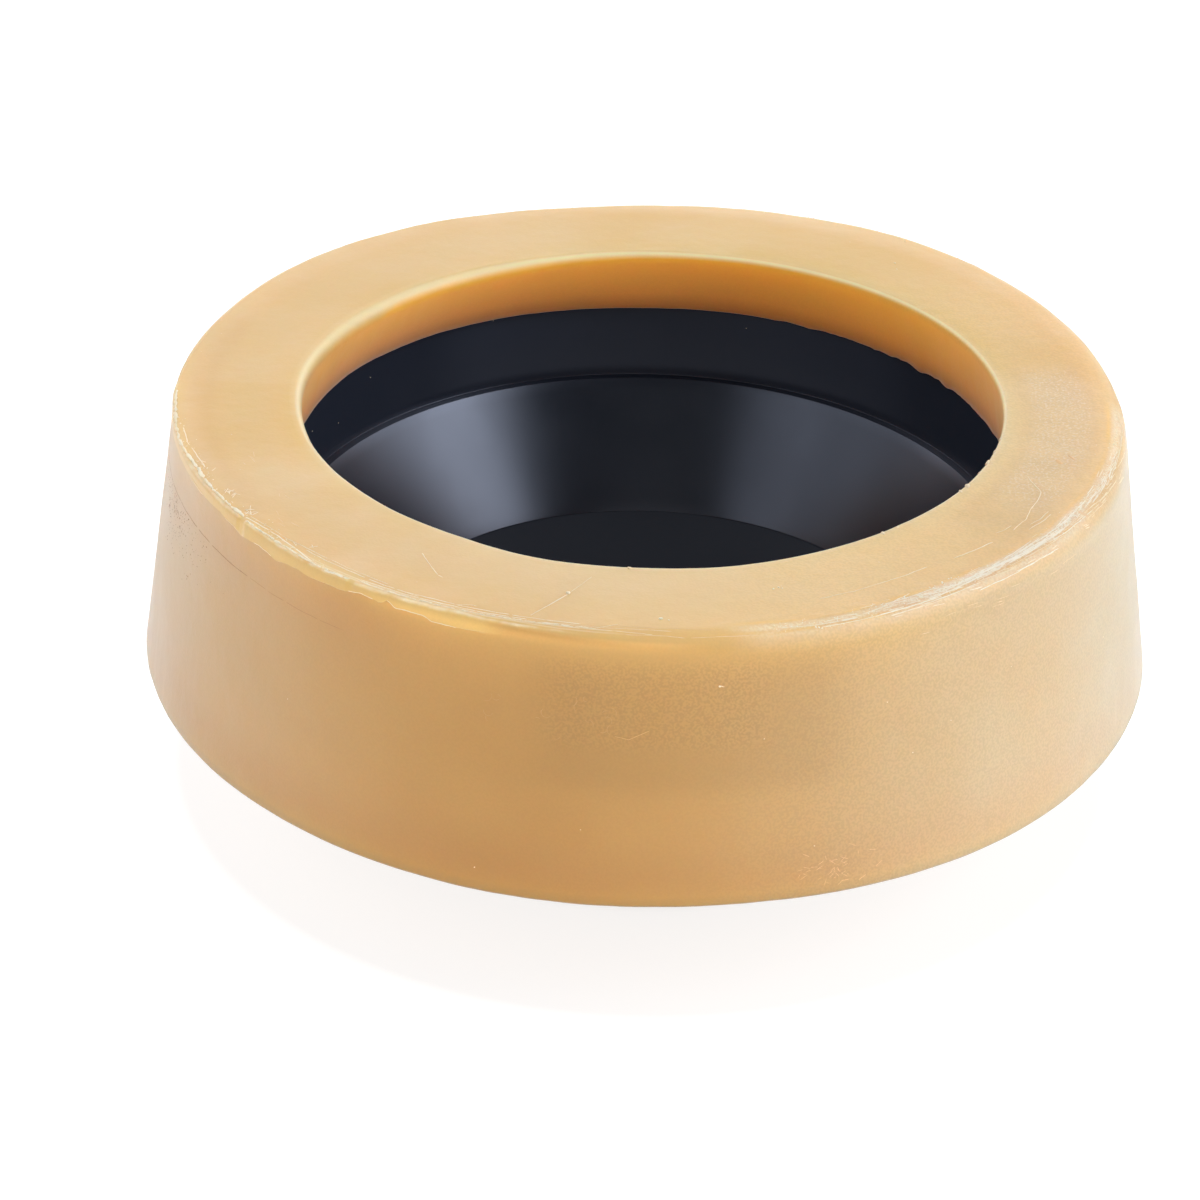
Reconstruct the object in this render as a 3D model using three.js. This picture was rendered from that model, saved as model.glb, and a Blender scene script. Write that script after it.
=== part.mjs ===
// Toilet pan seal: a thick moulded wax ring with a black plastic funnel (the horn) cast into it.
//
// Millimetres, +Z up. The origin is the centre of the horn's lower rim, which the seal stands on,
// and the axis of both pieces is Z. The pan's outlet presses into the top of the wax, and the horn
// hangs below the ring and enters the drain.
//
// Two pieces, both bodies of revolution:
//   wax_ring  tapered annulus with a flat top and a flat underside; its hole narrows a little to a
//             lip that laps over the top of the horn's collar
//   horn      one thin-walled moulding: collar, narrow ledge, cone, and a short outlet tube
//
// Every section below is written as (radius, height) points, anticlockwise, closed on themselves.

import * as THREE from "three";

// ---- driving dimensions -----------------------------------------------------------------------
const SEGMENTS = 96; // facets round both pieces, the same on each so that they stay parallel
const GAP = 0.3; // clearance left between the wax and the horn cast into it

// wax ring
const WAX_BASE = 17.5; // height of the wax's underside above the horn's lower rim
const WAX_HEIGHT = 33.2; // thickness of the wax
const WAX_R_BOTTOM = 63.6; // outside radius at the underside, about 127 mm across
const WAX_R_TOP = 59.7; // outside radius where the side meets the top's rounding
const WAX_R_HOLE = 43.5; // radius of the hole at the top
const WAX_R_LIP = 45.1; // radius of the hole where the wax ends on the collar
const LIP_DROP = 9.4; // from the top face down to the end of the wax in the hole
const TOP_ROUND = 1.6; // rounding of the outer top edge
const HOLE_ROUND = 1.2; // rounding of the inner top edge
const BASE_ROUND = 0.9; // rounding of the outer bottom edge

// horn
const WALL = 1.6; // wall thickness
const TUBE_R_END = 34.0; // inside radius at the outlet
const TUBE_R_THROAT = 34.65; // inside radius where the cone ends
const THROAT_Z = 15.6; // height of the throat edge
const CONE_R_TOP = 45.05; // inside radius at the cone's upper edge
const CONE_Z_TOP = 30.75; // height of the cone's upper edge
const COLLAR_R_BOTTOM = 46.2; // inside radius of the collar above the ledge
const COLLAR_R_TOP = 46.65; // inside radius of the collar's rim
const COLLAR_Z_TOP = 42.5; // height of the collar's rim, covered by the wax
const RIM_ROUND = 0.35; // rounding of the outlet's and the collar's rims

// ---- helpers ----------------------------------------------------------------------------------
const P = (r, z) => new THREE.Vector2(r, z);

// Points of a quarter round or part round about (cr, cz), from angle a to angle b in degrees.
function arc(cr, cz, radius, a, b, steps) {
  const points = [];
  for (let i = 0; i <= steps; i++) {
    const t = THREE.MathUtils.degToRad(a + ((b - a) * i) / steps);
    points.push(P(cr + radius * Math.cos(t), cz + radius * Math.sin(t)));
  }
  return points;
}

// A closed section turned about Z.
function turned(name, section, material) {
  const geometry = new THREE.LatheGeometry([...section, section[0].clone()], SEGMENTS);
  const mesh = new THREE.Mesh(geometry, material);
  mesh.name = name;
  mesh.rotation.x = Math.PI / 2; // the lathe turns about Y; the part's axis is Z
  return mesh;
}

// ---- the cone's direction, and the offset of its outer face --------------------------------------
const coneRun = CONE_R_TOP - TUBE_R_THROAT;
const coneRise = CONE_Z_TOP - THROAT_Z;
const coneLength = Math.hypot(coneRun, coneRise);
const slope = coneRun / coneRise; // radius gained per millimetre of height
const normalR = coneRise / coneLength; // outward normal of the cone's outer face
const normalZ = -coneRun / coneLength;

// Radius of the cone's outer face, moved out by a distance, at a height.
const coneOuter = (distance, z) =>
  TUBE_R_THROAT + distance * normalR + (z - (THROAT_Z + distance * normalZ)) * slope;

// Height at which that face meets the tube's outer face.
function tubeMeetsCone(distance) {
  const taper = (TUBE_R_THROAT - TUBE_R_END) / THROAT_Z;
  // TUBE_R_END + distance + taper z = coneOuter(distance, z)
  const atZero = coneOuter(distance, 0);
  return (TUBE_R_END + distance - atZero) / (slope - taper);
}

// ---- horn --------------------------------------------------------------------------------------
const ledgeUnder = CONE_Z_TOP - WALL;
const cornerZ = tubeMeetsCone(WALL);
const hornSection = [
  P(TUBE_R_END + RIM_ROUND, 0),
  ...arc(TUBE_R_END + WALL - RIM_ROUND, RIM_ROUND, RIM_ROUND, -90, 0, 3),
  P(coneOuter(WALL, cornerZ), cornerZ),
  P(coneOuter(WALL, ledgeUnder), ledgeUnder),
  P(COLLAR_R_BOTTOM + WALL - 0.5, ledgeUnder),
  P(COLLAR_R_BOTTOM + WALL, ledgeUnder + 0.5),
  ...arc(COLLAR_R_TOP + WALL - RIM_ROUND, COLLAR_Z_TOP - RIM_ROUND, RIM_ROUND, 0, 90, 3),
  ...arc(COLLAR_R_TOP + RIM_ROUND, COLLAR_Z_TOP - RIM_ROUND, RIM_ROUND, 90, 180, 3),
  P(COLLAR_R_BOTTOM, CONE_Z_TOP + 0.3),
  P(COLLAR_R_BOTTOM - 0.25, CONE_Z_TOP + 0.05),
  P(CONE_R_TOP + 0.15, CONE_Z_TOP),
  P(CONE_R_TOP - 0.1, CONE_Z_TOP - 0.15),
  P(TUBE_R_THROAT + 0.3 * slope, THROAT_Z + 0.3),
  P(TUBE_R_THROAT, THROAT_Z - 0.2),
  P(TUBE_R_END, RIM_ROUND),
];

// ---- wax ring ----------------------------------------------------------------------------------
const waxTop = WAX_BASE + WAX_HEIGHT;
const lipZ = waxTop - LIP_DROP;
const bed = WALL + GAP; // the wax lies this far outside the horn's inner face
const waxSection = [
  P(coneOuter(bed, WAX_BASE), WAX_BASE),
  P(WAX_R_BOTTOM - BASE_ROUND, WAX_BASE),
  ...arc(WAX_R_BOTTOM - BASE_ROUND, WAX_BASE + BASE_ROUND, BASE_ROUND, -60, 0, 3),
  ...arc(WAX_R_TOP - TOP_ROUND, waxTop - TOP_ROUND, TOP_ROUND, 8, 90, 5),
  ...arc(WAX_R_HOLE + HOLE_ROUND, waxTop - HOLE_ROUND, HOLE_ROUND, 90, 180, 4),
  P(WAX_R_LIP - 0.1, lipZ + 0.3),
  P(WAX_R_LIP + 0.2, lipZ),
  P(COLLAR_R_TOP - GAP, lipZ),
  P(COLLAR_R_TOP - GAP, COLLAR_Z_TOP + GAP),
  P(COLLAR_R_TOP + bed, COLLAR_Z_TOP + GAP),
  P(COLLAR_R_BOTTOM + bed, ledgeUnder + 0.5),
  P(COLLAR_R_BOTTOM + bed - 0.7, ledgeUnder - GAP),
  P(coneOuter(bed, ledgeUnder - GAP), ledgeUnder - GAP),
];

// ---- materials and assembly --------------------------------------------------------------------
const wax = new THREE.MeshStandardMaterial({
  color: new THREE.Color().setRGB(0.87, 0.71, 0.48, THREE.SRGBColorSpace),
  roughness: 0.45,
  metalness: 0,
});
const blackPlastic = new THREE.MeshStandardMaterial({
  color: new THREE.Color().setRGB(0.09, 0.1, 0.12, THREE.SRGBColorSpace),
  roughness: 0.22,
  metalness: 0,
});

const seal = new THREE.Group();
seal.name = "toilet_pan_seal";
seal.add(turned("wax_ring", waxSection, wax));
seal.add(turned("horn", hornSection, blackPlastic));

export default seal;
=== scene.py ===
import math

import bpy
import numpy as np
from mathutils import Matrix, Vector


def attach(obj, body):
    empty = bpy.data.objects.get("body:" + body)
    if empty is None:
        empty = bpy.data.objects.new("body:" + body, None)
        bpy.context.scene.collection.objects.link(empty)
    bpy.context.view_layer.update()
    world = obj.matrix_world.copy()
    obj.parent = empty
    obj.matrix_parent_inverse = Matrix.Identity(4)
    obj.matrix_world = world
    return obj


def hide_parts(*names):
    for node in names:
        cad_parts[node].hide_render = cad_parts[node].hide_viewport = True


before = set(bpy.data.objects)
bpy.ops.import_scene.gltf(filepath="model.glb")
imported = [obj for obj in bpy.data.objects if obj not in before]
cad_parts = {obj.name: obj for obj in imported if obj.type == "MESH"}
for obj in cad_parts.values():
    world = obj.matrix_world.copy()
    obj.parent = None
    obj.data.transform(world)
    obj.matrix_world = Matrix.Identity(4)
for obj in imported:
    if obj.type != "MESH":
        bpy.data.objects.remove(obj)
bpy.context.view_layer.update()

MM = 0.001

# ---------------------------------------------------------------------------------------------
# Sizes, in millimetres, the same as the CAD's
# ---------------------------------------------------------------------------------------------
WAX_BASE = 17.5
WAX_TOP = 50.7
LIP_Z = 41.3
SIDE_SLOPE = (59.7 - 63.6) / (49.3 - 18.4)  # radius gained per millimetre of height

WALL = 1.6
TUBE_R_END = 34.0
TUBE_R_THROAT = 34.65
THROAT_Z = 15.6
CONE_R_TOP = 45.05
CONE_Z_TOP = 30.75
COLLAR_R_BOTTOM = 46.2
COLLAR_R_TOP = 46.65
COLLAR_Z_TOP = 42.5
CONE_SLOPE = (CONE_R_TOP - TUBE_R_THROAT) / (CONE_Z_TOP - THROAT_Z)


def cone_outer(distance, z):
    n = math.hypot(CONE_R_TOP - TUBE_R_THROAT, CONE_Z_TOP - THROAT_Z)
    nr = (CONE_Z_TOP - THROAT_Z) / n
    nz = -(CONE_R_TOP - TUBE_R_THROAT) / n
    return TUBE_R_THROAT + distance * nr + (z - (THROAT_Z + distance * nz)) * CONE_SLOPE


# ---------------------------------------------------------------------------------------------
# Number helpers: smooth tables round the axis, and gradient noise with a fixed seed
# ---------------------------------------------------------------------------------------------
GRID = np.arange(-180.0, 180.0, 0.5)


def around(pairs, sigma=3.0):
    """A smooth function of the angle in degrees, from (angle, value) pairs all round the axis."""
    pairs = sorted(pairs)
    a = np.array([p[0] for p in pairs], float)
    v = np.array([p[1] for p in pairs], float)
    g = np.interp(GRID, a, v, period=360.0)
    if sigma > 0:
        f = np.fft.rfftfreq(len(GRID), d=0.5)
        g = np.fft.irfft(np.fft.rfft(g) * np.exp(-2 * (math.pi * f * sigma) ** 2), len(GRID))
    return lambda th: np.interp(th, GRID, g, period=360.0)


def smooth(lo, hi, x):
    t = np.clip((x - lo) / (hi - lo), 0.0, 1.0)
    return t * t * (3 - 2 * t)


def window(th, a, b, soft):
    """1 between the angles a and b, falling smoothly to 0 over soft degrees outside."""
    return smooth(a - soft, a, th) * (1 - smooth(b, b + soft, th))


PERM = np.random.RandomState(7).permutation(4096)
GRADS = np.random.RandomState(11).normal(size=(4096, 3))
GRADS /= np.linalg.norm(GRADS, axis=1)[:, None]


def noise3(p, seed=0):
    """Gradient noise at the points p, about -1 to 1."""
    p = np.asarray(p, float)
    i = np.floor(p).astype(np.int64)
    f = p - i
    u = f * f * f * (f * (f * 6 - 15) + 10)
    out = np.zeros(p.shape[:-1])
    for dx in (0, 1):
        for dy in (0, 1):
            for dz in (0, 1):
                h = PERM[(i[..., 0] + dx + seed * 131) & 4095]
                h = PERM[(h + i[..., 1] + dy) & 4095]
                h = PERM[(h + i[..., 2] + dz) & 4095]
                g = GRADS[h]
                d = f - np.array([dx, dy, dz])
                w = (
                    (u[..., 0] if dx else 1 - u[..., 0])
                    * (u[..., 1] if dy else 1 - u[..., 1])
                    * (u[..., 2] if dz else 1 - u[..., 2])
                )
                out += w * (g * d).sum(-1)
    return out * 1.6


def noise1(x, seed=0):
    x = np.asarray(x, float)
    return noise3(np.stack([x, np.full_like(x, 0.37 + seed), np.full_like(x, 0.61)], -1), seed)


def fbm3(p, octaves, seed=0, gain=0.5):
    total, amp, size = 0.0, 1.0, 0.0
    for k in range(octaves):
        total = total + amp * noise3(np.asarray(p) * 2.0**k, seed + k)
        size += amp
        amp *= gain
    return total / size


def new_mesh(name, verts_mm, faces, smooth_angle=None):
    """A mesh object from points in millimetres and an array of quads or a list of faces."""
    mesh = bpy.data.meshes.new(name)
    mesh.from_pydata((np.asarray(verts_mm) * MM).tolist(), [], [list(map(int, f)) for f in faces])
    mesh.validate()
    mesh.update()
    mesh.polygons.foreach_set("use_smooth", np.ones(len(mesh.polygons), bool))
    if smooth_angle is not None:
        mesh.set_sharp_from_angle(angle=math.radians(smooth_angle))
    obj = bpy.data.objects.new(name, mesh)
    bpy.context.scene.collection.objects.link(obj)
    return obj


def ring_faces(columns, rows):
    """Quads of a grid closed both ways, columns round the axis and rows round the section."""
    c = np.arange(columns)[:, None]
    r = np.arange(rows)[None, :]
    c2, r2 = (c + 1) % columns, (r + 1) % rows
    q = np.stack([c * rows + r, c2 * rows + r, c2 * rows + r2, c * rows + r2], -1)
    return q.reshape(-1, 4)


def add_attribute(obj, name, values):
    a = obj.data.attributes.new(name, "FLOAT", "POINT")
    a.data.foreach_set("value", np.asarray(values, np.float32).ravel())


# ---------------------------------------------------------------------------------------------
# The wax ring
# ---------------------------------------------------------------------------------------------
# Angles run from +X through +Y, in degrees. The near side is at -90.
TH = np.concatenate(
    [
        np.linspace(-180, -98, 300, endpoint=False),
        np.linspace(-98, -74, 46, endpoint=False),
        np.linspace(-74, -8, 170, endpoint=False),
        np.linspace(-8, 58, 124, endpoint=False),
        np.linspace(58, 180, 116, endpoint=False),
    ]
)
COLUMNS = len(TH)
COS, SIN = np.cos(np.radians(TH)), np.sin(np.radians(TH))

# radius of the outer top edge, where the side's line meets the top
edge_radius = around(
    [
        (-178, 58.95), (-172, 58.8), (-164, 58.85), (-155, 58.75), (-147, 58.6), (-139, 58.6),
        (-130, 59.0), (-120, 59.1), (-110, 59.05), (-100, 59.3), (-90, 59.5), (-75, 59.5),
        (-60, 59.4), (-47, 59.5), (-35, 59.6), (-20, 59.35), (-10, 58.85), (-4, 58.65), (10, 58.8),
        (21, 59.2), (33, 59.8), (43, 60.4), (52, 60.8), (59, 60.95), (66, 60.65), (73, 60.25),
        (80, 59.95), (87, 59.45), (94, 59.15), (100, 58.85), (107, 59.15), (114, 59.65), (121, 60.0),
        (129, 60.2), (137, 60.2), (147, 59.95), (159, 59.25),
    ],
    3.0,
)
# radius of the outer bottom edge
foot_radius = around(
    [
        (-163, 63.6), (-145, 63.6), (-135, 63.65), (-127, 63.75), (-121, 63.9), (-114, 63.95),
        (-103, 64.1), (-98, 64.15), (-88, 63.95), (-77, 63.85), (-66, 64.1), (-54, 64.25),
        (-47, 64.25), (-39, 64.15), (-27, 63.85), (0, 63.6), (60, 63.5), (120, 63.5), (170, 63.55),
    ],
    4.0,
)
# rounding of the outer top edge: tight where it kept its mould flash, wide where it was rubbed
edge_round = around(
    [
        (-180, 0.5), (-150, 0.4), (-120, 0.4), (-104, 0.7), (-94, 1.6), (-86, 2.4), (-74, 2.6),
        (-55, 2.6), (-38, 3.1), (-22, 3.2), (-5, 2.8), (20, 1.9), (60, 1.7), (120, 1.6), (160, 1.0),
    ],
    3.0,
)
# hole: radius of the wall just under the rim, rounding of the rim, radius at the lip's end
hole_radius = around(
    [
        (-157, 43.2), (-140, 43.0), (-129, 43.0), (-119, 42.9), (-110, 43.6), (-102, 43.7),
        (-95, 43.5), (-87, 43.5), (-80, 43.7), (-72, 43.6), (-64, 43.4), (-55, 43.3), (-45, 43.2),
        (-32, 43.4), (-15, 43.6), (0, 43.8), (27, 43.9), (40, 43.7), (51, 43.4), (61, 43.1),
        (71, 42.9), (80, 42.5), (89, 42.4), (98, 42.2), (108, 41.9), (118, 41.8), (128, 42.0),
        (140, 42.2), (153, 42.6), (174, 43.2),
    ],
    3.5,
)
hole_round = around(
    [(-170, 0.9), (-120, 0.6), (-60, 0.5), (-10, 0.5), (40, 0.55), (80, 0.75), (105, 1.1), (125, 1.5),
     (150, 1.6), (172, 1.2)],
    5.0,
)
lip_radius = around(
    [(-170, 45.0), (-90, 45.1), (0, 45.1), (60, 45.15), (80, 45.2), (89, 44.8), (106, 45.1),
     (115, 45.35), (148, 45.35), (169, 44.6)],
    3.0,
)


SKIN = {}  # the ring's points and row numbers, for the small things that sit on it

# how far the thin skin of flash hangs down over the side, in millimetres
SKIN_EDGE = [
    (-180, 0.9), (-162, 1.05), (-157.2, 1.02), (-153.9, 1.28), (-150.6, 1.24), (-148.2, 1.14),
    (-146.5, 1.47), (-144.6, 1.49), (-143.4, 1.94), (-141.5, 1.77), (-139.3, 1.54), (-137.5, 1.72),
    (-136.1, 1.98), (-134, 1.48), (-132.2, 1.45), (-130.1, 1.59), (-128.3, 1.43), (-125.9, 1.42),
    (-124.8, 1.3), (-122.7, 0.9), (-121.3, 1.05), (-120.4, 1.2), (-119.8, 1.05), (-119.3, 0.6),
    (-118.7, 0.85), (-118.2, 1.25), (-116.8, 1.15), (-114.6, 1.15), (-113.6, 1.6), (-110.7, 1.65),
    (-105, 1.4), (-90, 1.1), (0, 1.0), (180, 0.9),
]
# middle of the pale band rubbed along the near right, its paleness partly wear and partly a painted highlight, as a
# radius seen on the plane of the top
BAND = [
    (-82, 58.3), (-76, 58.4), (-70, 58.7), (-62, 58.2), (-55, 57.95), (-48, 57.75), (-41, 57.75),
    (-34, 57.8), (-28, 57.65), (-22, 57.8), (-14, 57.9), (-6, 57.9),
]


def wax_ring():
    th = TH
    arc = np.radians(th) * 59.0  # millimetres along the top edge
    rows_r, rows_z = [], []

    def put(r, z):
        rows_r.append(np.broadcast_to(np.asarray(r, float), th.shape).copy())
        rows_z.append(np.broadcast_to(np.asarray(z, float), th.shape).copy())

    tags = {}
    foot, edge, rnd = foot_radius(th), edge_radius(th), edge_round(th)

    # underside, from the horn outwards
    r0 = cone_outer(WALL + 0.05, WAX_BASE)
    tags["under"] = len(rows_r)
    put(r0 + 0.02, WAX_BASE + 0.35)
    put(r0 + 0.45, WAX_BASE + 0.03)
    for t in np.linspace(0.1, 1.0, 4):
        put(r0 + 0.45 + (foot - 0.9 - r0 - 0.45) * t, WAX_BASE)
    # bottom edge
    br = 0.5
    for a in (-70, -48, -26, -8):
        put(foot - br + br * math.cos(math.radians(a)), WAX_BASE + br + br * math.sin(math.radians(a)))

    # side wall: a straight line from the foot to the virtual corner with the top
    zf = WAX_BASE + br
    height = WAX_TOP - zf
    slope = (edge - foot) / height
    length = np.hypot(edge - foot, height)
    dr, dz = (edge - foot) / length, height / length  # unit vector up the side
    tags["side"] = len(rows_r)
    start = 3.2  # the edge's rows begin this far below the corner
    for t in np.linspace(0.0, 1.0, 31)[:-1]:
        d = t * (length - start)
        put(foot + dr * d, zf + dz * d)

    # the edge: rows placed by their distance s along the section from the middle of the rounding
    beta = np.pi / 2 - np.arctan2(-dr, dz)  # turn from the side's direction to the top's
    tangent = rnd * np.tan(beta / 2)
    half = rnd * beta / 2
    # lower edge of the thin skin that hangs over the side at the near left
    skin_on = window(th, -178, -109, 5)
    skin = np.interp(th, [a for a, _ in SKIN_EDGE], [b for _, b in SKIN_EDGE])
    skin = skin + 0.05 * noise1(arc / 1.6, 4) + 0.04 * noise1(arc / 0.7, 5)
    skin = np.clip(skin, 0.2, 2.3)
    worn = window(th, -74, -8, 8)  # closer rows across the rubbed band
    s_rows = []
    anchors = [
        (-start, 0),
        (-skin - 0.05, 8),
        (-skin + 0.03, 1),
        (-0.30 + 0.95 * worn, 5),
        (0.45 + 1.45 * worn, 9),
        (1.5 + 1.0 * worn, 6),
        (3.4 + 0 * th, 6),
    ]
    prev = np.broadcast_to(-start, th.shape).astype(float)
    s_rows.append(prev)
    for a, n in anchors[1:]:
        a = np.broadcast_to(a, th.shape)
        for k in range(1, n + 1):
            s_rows.append(prev + (a - prev) * k / n)
        prev = a
    tags["edge"] = len(rows_r)
    s_all = np.array(s_rows)  # rows, columns
    base_r, base_z, nor_r, nor_z = [], [], [], []
    for s in s_all:
        # on the side line, on the arc, or on the top plane
        phi = np.clip((s + half) / np.maximum(rnd, 1e-6), 0, beta)
        # direction turns from (dr, dz) to (-1, 0)
        ang0 = np.arctan2(dz, dr)
        a = ang0 + phi
        # centre of the rounding
        px = edge - dr * tangent
        pz = WAX_TOP - dz * tangent
        cx, cz = px - dz * rnd, pz + dr * rnd
        ax, az = cx + rnd * np.sin(a), cz - rnd * np.cos(a)
        below = np.minimum(s + half, 0.0)
        above = np.maximum(s - half, 0.0)
        base_r.append(ax + dr * below - above)
        base_z.append(az + dz * below)
        nor_r.append(np.sin(a))
        nor_z.append(-np.cos(a))
    base_r, base_z, nor_r, nor_z = map(np.array, (base_r, base_z, nor_r, nor_z))

    # what stands on the edge
    A = np.broadcast_to(arc, s_all.shape)
    T = np.broadcast_to(th, s_all.shape)
    d = np.zeros_like(s_all)
    # thin overhanging skin
    skin_amt = skin_on * (0.17 + 0.05 * noise1(arc / 4.0, 8))
    gaps = 1 - 0.9 * window(th, -143.9, -143.0, 0.35) - 0.8 * window(th, -124.5, -123.9, 0.3)
    skin_amt = np.clip(skin_amt, 0.05, 0.4) * skin_on * np.clip(gaps, 0, 1)
    on = (s_all >= -np.broadcast_to(skin, s_all.shape)) * (1 - smooth(-0.1, 0.5, s_all))
    d += skin_amt * on * (0.75 + 0.25 * smooth(-skin, 0, s_all))
    # crumbled flash ridge, and the fine parallel lines beside it
    ridge_on = window(th, -177, -101, 5)
    wob = 0.10 * noise1(arc / 3.0, 12) + 0.05 * noise1(arc / 0.9, 13)
    s_r = s_all - (0.02 + wob)
    crumble = (
        0.62
        + 0.45 * noise1(arc / 1.5, 14)
        + 0.35 * noise1(arc / 0.55, 15)
    )
    crumble = np.clip(crumble, 0.12, 1.3) * np.clip(gaps, 0, 1)
    ridge_h = 0.11 * ridge_on * crumble
    d += ridge_h * np.exp(-((s_r / 0.10) ** 2))
    lines_on = window(th, -132, -97, 8)
    for off, amp, seed in ((0.42, 0.016, 21), (0.80, 0.010, 22)):
        w = off + 0.06 * noise1(arc / 6.0, seed) + 0.03 * noise1(arc / 1.2, seed + 5)
        hgt = amp * lines_on * np.clip(0.7 + 0.6 * noise1(arc / 2.5, seed + 9), 0, 1.4)
        d += hgt * np.exp(-(((s_all - w) / 0.09) ** 2))
    # wrinkles rubbed along the wide rounding at the near right
    wrinkle_on = window(th, -72, -10, 8)
    pos = np.stack([A / 3.6, s_all / 0.42, 0 * A], -1)
    pos2 = np.stack([A / 1.3, s_all / 0.30, 0 * A + 5], -1)
    wr = 0.022 * noise3(pos, 31) + 0.014 * noise3(pos2, 32)
    d += wrinkle_on * wr * np.exp(-((s_all / 1.6) ** 2))
    strands = 0.030 * noise3(np.stack([A / 2.6, s_all / 0.50, 0 * A + 2], -1), 34)
    strands += 0.016 * noise3(np.stack([A / 0.9, s_all / 0.40, 0 * A + 7], -1), 35)
    d += worn * strands * np.exp(-(((s_all - 1.25) / 0.75) ** 2))
    d += 0.03 * fbm3(np.stack([A / 2.2, s_all / 1.2, 0 * A + 9], -1), 2, 41) * (1 - 0.6 * ridge_on)

    er, ez = base_r + nor_r * d, base_z + nor_z * d
    for k in range(len(s_all)):
        put(er[k], ez[k])
    tags["top"] = len(rows_r)
    # attributes that only the edge's rows carry
    ridge_attr = ridge_on * np.clip(crumble, 0, 1) * np.exp(-((s_r / 0.14) ** 2))
    for off, seed in ((0.42, 21), (0.80, 22)):
        w = off + 0.06 * noise1(arc / 6.0, seed) + 0.03 * noise1(arc / 1.2, seed + 5)
        ridge_attr = np.maximum(ridge_attr, 0.6 * lines_on * np.exp(-(((s_all - w) / 0.07) ** 2)))
    film_attr = skin_on * on
    inside = (s_all > 0) * np.exp(-((s_all / 2.2) ** 2))  # the top is yellower beside the flash
    film_attr = np.maximum(film_attr, 0.5 * window(th, -180, -104, 8) * inside)

    # top face
    r_out = er[-1]
    hole, hrnd = hole_radius(th), hole_round(th)
    r_in = hole + hrnd
    for t in np.linspace(0, 1, 19)[1:]:
        put(r_out + (r_in - r_out) * t, WAX_TOP)
    # inner rim
    for a in np.linspace(0, 90, 10)[1:]:
        a = math.radians(a)
        put(r_in - hrnd * math.sin(a), WAX_TOP - hrnd * (1 - math.cos(a)))
    tags["inner"] = len(rows_r)
    # inner wall down to the lip's end
    lip = lip_radius(th)
    z0 = WAX_TOP - hrnd
    arc_l = np.radians(th) * 45.0
    rag_on = window(th, 2, 62, 12)
    lip_z = (
        LIP_Z
        + 0.04 * noise1(arc_l / 6.0, 51)
        + rag_on * (0.26 * noise1(arc_l / 3.4, 52) + 0.24 * noise1(arc_l / 1.25, 53))
        + (1 - rag_on) * 0.02 * noise1(arc_l / 1.5, 54)
    )
    for t in np.linspace(0, 1, 11)[1:]:
        put(hole + (lip - 0.1 - hole) * t, z0 + (lip_z + 0.25 - z0) * t)
    # the lip's end laps on to the collar
    collar_r = COLLAR_R_BOTTOM + (COLLAR_R_TOP - COLLAR_R_BOTTOM) * (lip_z - 31.0) / 11.5
    put(lip + 0.12, lip_z + 0.04)
    put(lip + 0.45, lip_z - 0.02)
    put(collar_r - 0.03, lip_z)
    tags["hidden"] = len(rows_r)
    # hidden: round the collar's rim and down its outside to the underside
    put(COLLAR_R_TOP - 0.03, COLLAR_Z_TOP - 0.2)
    put(COLLAR_R_TOP + 0.1, COLLAR_Z_TOP + 0.06)
    put(COLLAR_R_TOP + WALL - 0.1, COLLAR_Z_TOP + 0.06)
    put(COLLAR_R_TOP + WALL + 0.04, COLLAR_Z_TOP - 0.2)
    put(COLLAR_R_BOTTOM + WALL + 0.04, CONE_Z_TOP - WALL + 0.4)
    put(COLLAR_R_BOTTOM + WALL - 0.5, CONE_Z_TOP - WALL - 0.05)
    put(cone_outer(WALL + 0.04, CONE_Z_TOP - WALL - 0.05), CONE_Z_TOP - WALL - 0.05)
    put(cone_outer(WALL + 0.04, 23.0), 23.0)

    R, Z = np.array(rows_r).T, np.array(rows_z).T  # columns, rows
    rows = R.shape[1]
    X, Y = R * COS[:, None], R * SIN[:, None]
    P = np.stack([X, Y, Z], -1)

    # broad unevenness of the casting, none on the hidden rows
    free = np.ones(rows)
    free[tags["hidden"] :] = 0
    free[: tags["side"] - 4] = 0.35
    j = np.arange(rows)
    # normals of the section, from its neighbours
    prv, nxt = np.roll(P, 1, 1), np.roll(P, -1, 1)
    tv = nxt - prv
    tu = np.roll(P, -1, 0) - np.roll(P, 1, 0)
    N = np.cross(tu, tv)
    N /= np.maximum(np.linalg.norm(N, axis=2, keepdims=True), 1e-9)
    bumpy = 0.07 * fbm3(P / 14.0, 2, 61) + 0.035 * noise3(P / 4.5, 63)
    fine = 0.012 * noise3(P / 1.5, 65)
    top_rows = (j >= tags["top"]) & (j < tags["inner"])
    keep = free[None, :] * (bumpy + fine)
    keep = keep * np.where(top_rows, 0.8, 1.0)[None, :]
    P = P + N * keep[..., None]

    obj = new_mesh("wax_ring_cast", P.reshape(-1, 3), ring_faces(COLUMNS, rows), 50)

    def spread(rows_from, block):
        full = np.zeros((COLUMNS, rows))
        full[:, rows_from : rows_from + block.shape[0]] = block.T
        return full.ravel()

    add_attribute(obj, "ridge", spread(tags["edge"], ridge_attr))
    add_attribute(obj, "film", spread(tags["edge"], film_attr))
    a, below = th[:, None] + 0 * Z, WAX_TOP - P[..., 2]
    e0, e1, t1 = tags["edge"], tags["top"], tags["inner"]
    # the lid: the top face with both its edges, which has its own colour
    lid = np.zeros((COLUMNS, rows))
    lid[:, e0:e1] = smooth(0.2, 0.9, nor_z.T)
    lid[:, e1:t1] = 1.0
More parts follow.
